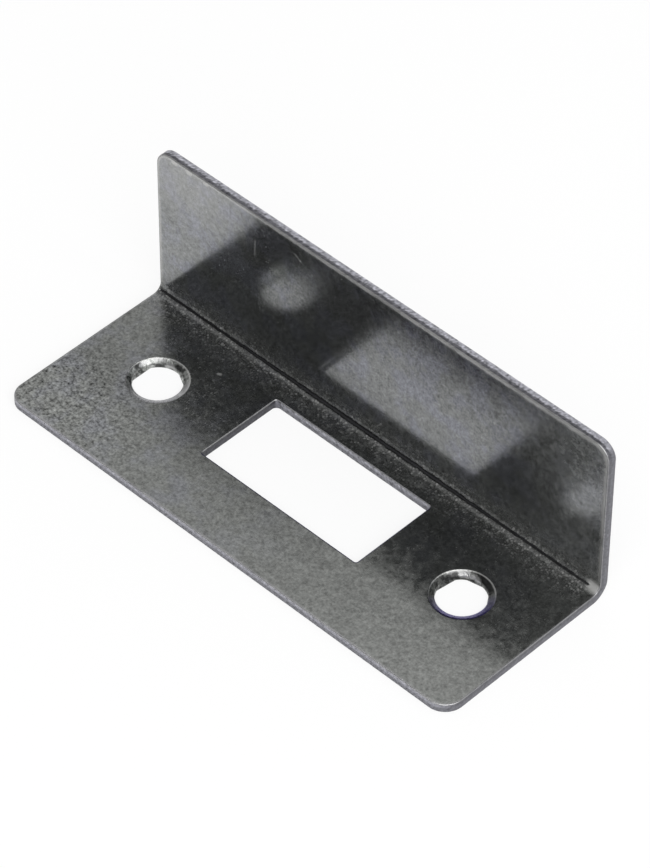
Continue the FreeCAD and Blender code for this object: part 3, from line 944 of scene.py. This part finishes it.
def skin_material(colours, groups):
    """The blackened faces, coarsest at the front left, with painted light and shade across them, painted
    highlights on their borders and marks, painted shade in the crease, a darker band beside it, and bared
    grains along it.
    """
    material, w, shader, place = steel_material("blackened_steel", colours.skin, colours.skin_roughness)
    grain = w.group(groups["grain"], place=place)
    mottle = grain["Mottle"]
    axes = w.xyz(place)

    def change(name):
        axis, *numbers = CHANGES[name]
        return w.step(axes[axis], *numbers)

    away = w.vector("LENGTH", w.vector("MULTIPLY", w.vector("SUBTRACT", place, COARSEST), COARSE_REACH))
    strength = w.step(away, *COARSE_FALL)
    raised = change("upright")
    # painted light and shade: each face's lightness, zone by zone, where it mirrors the room
    leg_tilt = w.times(
        change("leg middle begins"), change("leg middle ends"),
        w.plus(change("leg middle lightens"), change("leg middle darkens")),
    )
    leg_shade = w.plus(change("leg from front"), change("leg to right"))
    leg_shade = w.plus(leg_shade, w.plus(leg_tilt, change("leg to rear")))
    falling = w.plus(change("upper part darkens"), change("upper right lightens"))
    upright_shade = w.minus(
        w.plus(change("upright left end"), change("upright middle")),
        w.times(change("upper part"), falling, change("past left end")),
    )
    lit = w.between(raised, leg_shade, upright_shade)
    shade = w.plus(lit, w.times(grain["Grain"], strength, GRAIN_TONE))
    blue_zone = w.most(raised, change("blue on leg"))
    patchy = w.times(w.step(mottle, -0.08, 0.16), blue_zone, change("blue at right"))
    blueness = w.math("ADD", patchy, w.times(raised, UPRIGHT_BLUE), clamp=True)
    tint = w.paint((*colours.skin, 1.0), blueness, colours.bluish)
    base = w.scaled(tint, w.plus(shade, w.times(mottle, MOTTLE_TONE)))

    flank = w.attribute("grains")
    fine_bared = w.times(w.dots(place, *FINE_BARED), FINE_BARED_SHARE)
    bared = w.times(w.most(w.dots(place, *BARED), fine_bared), flank)
    # the band beside the crease, darkened with the crease's dark colour
    darkened = w.plus(DARKENING_SHARE, w.times(change("dirt on leg"), change("dirt on upright")))
    base = w.paint(base, w.times(flank, darkened), colours.crease_shade)
    base = w.paint(base, w.times(bared, BARED_LIGHTNESS), colours.bare_and_highlight)
    speck = w.times(grain["Speck"], change("speck share"))
    base = w.paint(base, w.times(speck, strength, change("speck lightness")), colours.bare_and_highlight)
    # the scratches and specks, with painted glints, a painted highlight and a painted reflection among them
    marks = 0.0
    for start, end, width, lightening in SCRATCHES_AND_PAINTED_LIGHT:
        mask = w.group(groups["scratch"], place=place, start=start, end=end, width=width)["Mask"]
        marks = w.most(marks, w.times(mask, lightening))
    # the border along the outline: worn metal and a painted highlight, wider and stronger on the upright
    wider = w.times(raised, change("border width"))
    reach = w.over(w.attribute("border"), w.times(w.plus(1.0, wider), MM))
    wear_and_highlight = w.plus(w.step(mottle, *BORDER_WEAR), w.times(raised, UPRIGHT_WEAR_AND_HIGHLIGHT))
    worn = w.times(w.step(reach, *BORDER_REACH), wear_and_highlight)
    # worn metal, scratches and specks, with the painted highlights and painted reflection among them
    worn_and_painted_light = w.most(marks, worn)
    base = w.paint(base, worn_and_painted_light, colours.bare_and_highlight)
    # painted shade fills the crease
    w.put(shader.inputs["Base Color"], w.paint(base, w.attribute("crease"), colours.crease_shade))

    upright = w.plus(colours.skin_roughness, w.plus(change("rougher above"), change("rougher at right")))
    even = w.between(raised, w.plus(colours.leg_roughness, change("leg smoother")), upright)
    dots = w.times(speck, change("speck roughness"))
    cloudiness = w.minus(change("cloud roughness"), w.times(raised, CLOUD_ON_UPRIGHT))
    clouds = w.times(grain["Cloud"], cloudiness)
    rough = w.plus(even, w.plus(dots, clouds), w.times(worn_and_painted_light, RUBBED_ROUGHNESS))
    w.put(shader.inputs["Roughness"], w.plus(rough, w.times(bared, BARED_ROUGHNESS)))

    # a thin chalky film lies on the right end, along the fold and on the upper part of the upright
    in_fold = w.times(change("film in fold"), change("film in right fold"))
    along_fold = w.plus(change("film before fold"), change("film along fold"), in_fold)
    leg_film = w.plus(change("film on right leg"), along_fold)
    right_end = w.times(change("film at right end"), change("film thickens up"))
    low_film = w.times(change("film low down"), change("film low at right"))
    upright_film = w.plus(right_end, low_film, change("film higher up"))
    uneven = w.plus(0.8, w.times(grain["Cloud"], 0.4), grain["Grain"])
    film = w.times(w.between(raised, leg_film, upright_film), uneven)
    film = w.most(film, w.times(marks, 0.5), w.times(worn, raised, 0.4))
    w.put(shader.inputs["Metallic"], w.minus(1.0, film))
    ripples = w.times(w.noise(place, RIPPLES, 1.0), w.minus(RIPPLE_HEIGHT, raised))
    waves = w.plus(w.times(w.noise(place, WAVES, 1.0), WAVE_HEIGHT), ripples)
    w.put(shader.inputs["Normal"], bump(w, w.plus(waves, grain["Grain"]), SKIN_BUMP))
    return material


# Where a cut edge goes over from burnished to torn, as a share of its depth.
TORN_FROM = (0.36, 0.56)
LEAST_TONE = 0.1


def cut_material(colours, groups):
    """The sheared edges: burnished above, torn below, worn bright on their rims, with painted light and
    shade by the side they face and a painted highlight on the rims.
    """
    material, w, shader, place = steel_material("sheared_steel", colours.cut, colours.cut_roughness)
    grain = w.group(groups["grain"], place=place)
    down, upper, contrast = w.attribute("down"), w.attribute("upper"), w.attribute("contrast")
    # the streaks that the punch drew down the wall, leaning a little
    along = w.over(w.attribute("along"), MM)
    streak = w.noise(w.join(w.plus(along, w.times(down, 0.4)), w.times(down, 0.8), 0.0), 3.2, 3.0, 0.6)
    torn = w.step(w.plus(down, w.times(w.minus(streak, 0.5), 0.5)), *TORN_FROM)
    # the tones above and below carry painted light and shade by the side the wall faces
    tone = w.between(torn, upper, w.attribute("lower"))
    uneven = w.plus(w.minus(streak, 0.5), w.times(grain["Grain"], 0.4))
    streaked = w.plus(1.0, w.times(uneven, contrast))
    base = w.scaled(tuple(colours.cut), w.most(w.times(tone, streaked), LEAST_TONE))
    # the rims: lightened as worn metal and as a painted highlight
    rim_lightening = w.step(w.plus(streak, w.times(grain["Mottle"], 0.6)), 0.3, 0.6, 0.5, 1.0)
    base = w.paint(base, w.times(w.attribute("rim"), rim_lightening), colours.bare_and_highlight)
    base = w.paint(base, w.times(w.attribute("near"), w.attribute("oxide")), colours.oxide)
    w.put(shader.inputs["Base Color"], base)
    w.put(shader.inputs["Roughness"], w.plus(colours.cut_roughness, w.times(grain["Mottle"], 0.2)))
    w.put(shader.inputs["Normal"], bump(w, w.times(streak, 1.5), 0.02))
    return material


# The cones' roughness, their patches for each millimetre, and how far the patches' outlines wander.
CONE_ROUGHNESS = 0.35
CONE_PATCHES = 2.0
CONE_STIR, STIR_DISTANCE = 1.8, 0.7
# How strongly the painted reflections cover the cones.
REFLECTION_SHARE = 0.85


def countersink_material(colours, groups):
    """The cones of the screw holes: rough, in patches of blackening and of bared metal, with painted
    reflections, painted shade lower in the hole, and painted highlights on the rims and near sides.
    """
    material, w, shader, place = steel_material("countersunk_steel", colours.cut, CONE_ROUGHNESS)
    grain = w.group(groups["grain"], place=place)
    patches = w.noise(place, CONE_PATCHES, 3.0, 0.65, 0.4)
    uneven = w.minus(patches, 0.5)
    # painted shade: the cone darker further down the hole
    upper = w.step(w.plus(w.attribute("down"), w.times(uneven, 0.7)), 0.5, 0.2)
    streaked = w.plus(w.plus(0.6, w.times(upper, 0.25)), w.times(uneven, 4.0))
    # each hole's tone, the left one lighter as painted light
    base = w.scaled(tuple(colours.skin), w.times(w.most(streaked, 0.2), w.attribute("upper")))
    stir = w.add("ShaderNodeTexNoise", {"Vector": place, "Scale": CONE_STIR}).outputs["Color"]
    stirred = w.scaled(w.vector("SUBTRACT", stir, (0.5, 0.5, 0.5)), STIR_DISTANCE)
    stirred = w.vector("ADD", place, stirred)
    # painted reflections, light and dark, with wandering outlines
    for start, end, width, lightness in CONE_REFLECTIONS:
        mask = w.group(groups["scratch"], place=stirred, start=start, end=end, width=width)["Mask"]
        base = w.mix(w.times(mask, REFLECTION_SHARE), base, grey(lightness))
    # painted highlight on the mouth's rim, partly worn metal, and on the near side
    base = w.paint(base, w.attribute("rim"), colours.bare_and_highlight)
    near = w.math("MULTIPLY", w.attribute("near"), 1.5, clamp=True)
    base = w.paint(base, w.times(near, 0.6), colours.bare_and_highlight)
    base = w.paint(base, w.times(w.attribute("near"), w.attribute("oxide")), colours.oxide)
    w.put(shader.inputs["Base Color"], base)
    w.put(shader.inputs["Roughness"], w.plus(CONE_ROUGHNESS, w.times(grain["Grain"], 0.3)))
    w.put(shader.inputs["Normal"], bump(w, w.plus(patches, grain["Grain"]), 0.04))
    return material


class STRIKE_OT_plate(bpy.types.Operator):
    """Punch, mark, fold and blacken the strike plate"""

    bl_idname = "strike.plate"
    bl_label = "Strike plate"

    def execute(self, context):
        scene = context.scene
        sizes, marks, colours = scene.plate_sizes, scene.plate_marks, scene.plate_colours
        fold = Fold(sizes)
        piece = bpy.data.objects.new("plate", punch_blank(sizes, fold))
        scene.collection.objects.link(piece)
        groups = {"grain": grain_group(), "scratch": scratch_group()}
        values = {prop.name: getattr(marks, prop.identifier) for prop in marks.bl_rna.properties}
        apply_tree(piece, fold_tree(), {
            **values,
            "Front": PLATE_LOW.y,
            "Flat leg": fold.flat,
            "Bend": fold.bend,
            "Outside radius": fold.outside,
            "Inner share": fold.inner_share,
            "Thickness": sizes.thickness,
            "Crease start": PLATE_LOW.x + marks.left_gap,
            "Crease end": PLATE_HIGH.x - marks.right_gap,
            "Skin": skin_material(colours, groups),
            "Cut edge": cut_material(colours, groups),
            "Countersink": countersink_material(colours, groups),
        })
        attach(piece, BODY)
        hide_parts(NODE)
        return {"FINISHED"}


def floor_material(colour_value):
    """A white floor: it takes a soft shadow, and is white to the camera and in the steel."""
    material = bpy.data.materials.new("studio_floor")
    material.use_nodes = True
    nodes = material.node_tree.nodes
    w = NodeWriter(material.node_tree)
    nodes.remove(nodes["Principled BSDF"])
    output = nodes["Material Output"]
    diffuse = w.add("ShaderNodeBsdfDiffuse", {"Color": (*colour_value, 1.0)})
    ray = w.add("ShaderNodeLightPath").outputs
    camera_share, mirror_share, glow_level = 0.78, 0.15, 1.04
    mirrored = w.most(ray["Is Glossy Ray"], ray["Is Transmission Ray"])
    white_share = w.plus(w.times(ray["Is Camera Ray"], camera_share), w.times(mirrored, mirror_share))
    glow = w.add("ShaderNodeEmission", {"Color": grey(1.0), "Strength": glow_level})
    w.put(output.inputs["Surface"], w.mix_shaders(white_share, diffuse, glow))
    return material


def studio_world():
    """A soft room, brighter behind the plate than in front of it, and white where the camera sees it."""
    world = bpy.data.worlds.new("studio")
    world.use_nodes = True
    w = NodeWriter(world.node_tree)
    output = world.node_tree.nodes["World Output"]
    direction = w.add("ShaderNodeTexCoord").outputs["Generated"]
    _, towards_back, _ = w.xyz(direction)
    front_level, back_level = 0.235, 0.74
    level = w.step(towards_back, -0.7, 0.7, front_level, back_level)
    room = w.add("ShaderNodeBackground", {"Color": grey(1.0), "Strength": level})
    white = w.add("ShaderNodeBackground", {"Color": grey(1.0), "Strength": 1.0})
    from_camera = w.add("ShaderNodeLightPath").outputs["Is Camera Ray"]
    w.put(output.inputs["Surface"], w.mix_shaders(from_camera, room, white))
    return world


class STRIKE_OT_stage(bpy.types.Operator):
    """Lay the floor, hang the soft light and set up the camera"""

    bl_idname = "strike.stage"
    bl_label = "Floor, light and camera"

    def execute(self, context):
        scene = context.scene
        studio = scene.plate_studio
        scene.view_settings.view_transform = "Standard"
        self.lay_floor(scene, studio)
        self.stand_light(scene, studio)
        self.set_camera(scene, studio)
        scene.world = studio_world()
        return {"FINISHED"}

    def lay_floor(self, scene, studio):
        half = 4.0
        mesh = bpy.data.meshes.new("floor")
        signs = ((-1, -1), (1, -1), (1, 1), (-1, 1))
        corners = [(half * right, half * back, PLATE_LOW.z) for right, back in signs]
        mesh.from_pydata(corners, [], [(0, 1, 2, 3)])
        floor = bpy.data.objects.new("floor", mesh)
        scene.collection.objects.link(floor)
        mesh.materials.append(floor_material(studio.floor))

    def stand_light(self, scene, studio):
        """One large round softbox beside the camera, turned to the plate."""
        data = bpy.data.lights.new("softbox", "AREA")
        data.shape = "DISK"
        data.size = 2 * studio.light_distance * math.tan(studio.light_spread)
        data.energy = studio.light_level * math.pi * math.pi * (data.size / 2) ** 2
        lamp = bpy.data.objects.new("softbox", data)
        away = Vector(studio.light_direction).normalized()
        lamp.location = away * studio.light_distance
        lamp.rotation_mode = "QUATERNION"
        lamp.rotation_quaternion = away.to_track_quat("Z", "Y")
        lamp.visible_camera = False
        scene.collection.objects.link(lamp)

    def set_camera(self, scene, studio):
        data = bpy.data.cameras.new("camera")
        data.sensor_fit = "VERTICAL"
        data.sensor_height = 36.0
        data.lens = studio.lens
        data.clip_start = 10 * MM
        camera = bpy.data.objects.new("camera", data)
        turn = Matrix.Rotation(studio.azimuth, 4, "Z") @ Matrix.Rotation(QUARTER - studio.elevation, 4, "X")
        place = Matrix.Translation(studio.aim) @ turn @ Matrix.Translation((0, 0, studio.distance))
        camera.matrix_world = place @ Matrix.Rotation(studio.roll, 4, "Z")
        scene.collection.objects.link(camera)
        scene.camera = camera


class STRIKE_PT_panel(bpy.types.Panel):
    """The plate's pieces and its stage"""

    bl_idname = "STRIKE_PT_panel"
    bl_label = "Strike plate"
    bl_space_type = "VIEW_3D"
    bl_region_type = "UI"
    bl_category = "Strike plate"

    def draw(self, context):
        for operator in OPERATORS:
            self.layout.operator(operator.bl_idname)
        for name in SETTINGS:
            group = getattr(context.scene, name)
            for prop in group.bl_rna.properties:
                if prop.identifier not in ("rna_type", "name"):
                    self.layout.prop(group, prop.identifier)


OPERATORS = (STRIKE_OT_plate, STRIKE_OT_stage)
SETTINGS = {
    "plate_sizes": PlateSizes,
    "plate_marks": MarkSettings,
    "plate_colours": FinishColours,
    "plate_studio": StudioSettings,
}
CLASSES = (*SETTINGS.values(), *OPERATORS, STRIKE_PT_panel)


def register():
    for cls in CLASSES:
        bpy.utils.register_class(cls)
    for name, cls in SETTINGS.items():
        setattr(bpy.types.Scene, name, PointerProperty(type=cls))


def unregister():
    for name in SETTINGS:
        delattr(bpy.types.Scene, name)
    for cls in reversed(CLASSES):
        bpy.utils.unregister_class(cls)


def main():
    register()
    bpy.ops.strike.plate()
    bpy.ops.strike.stage()


if __name__ == "__main__":
    main()
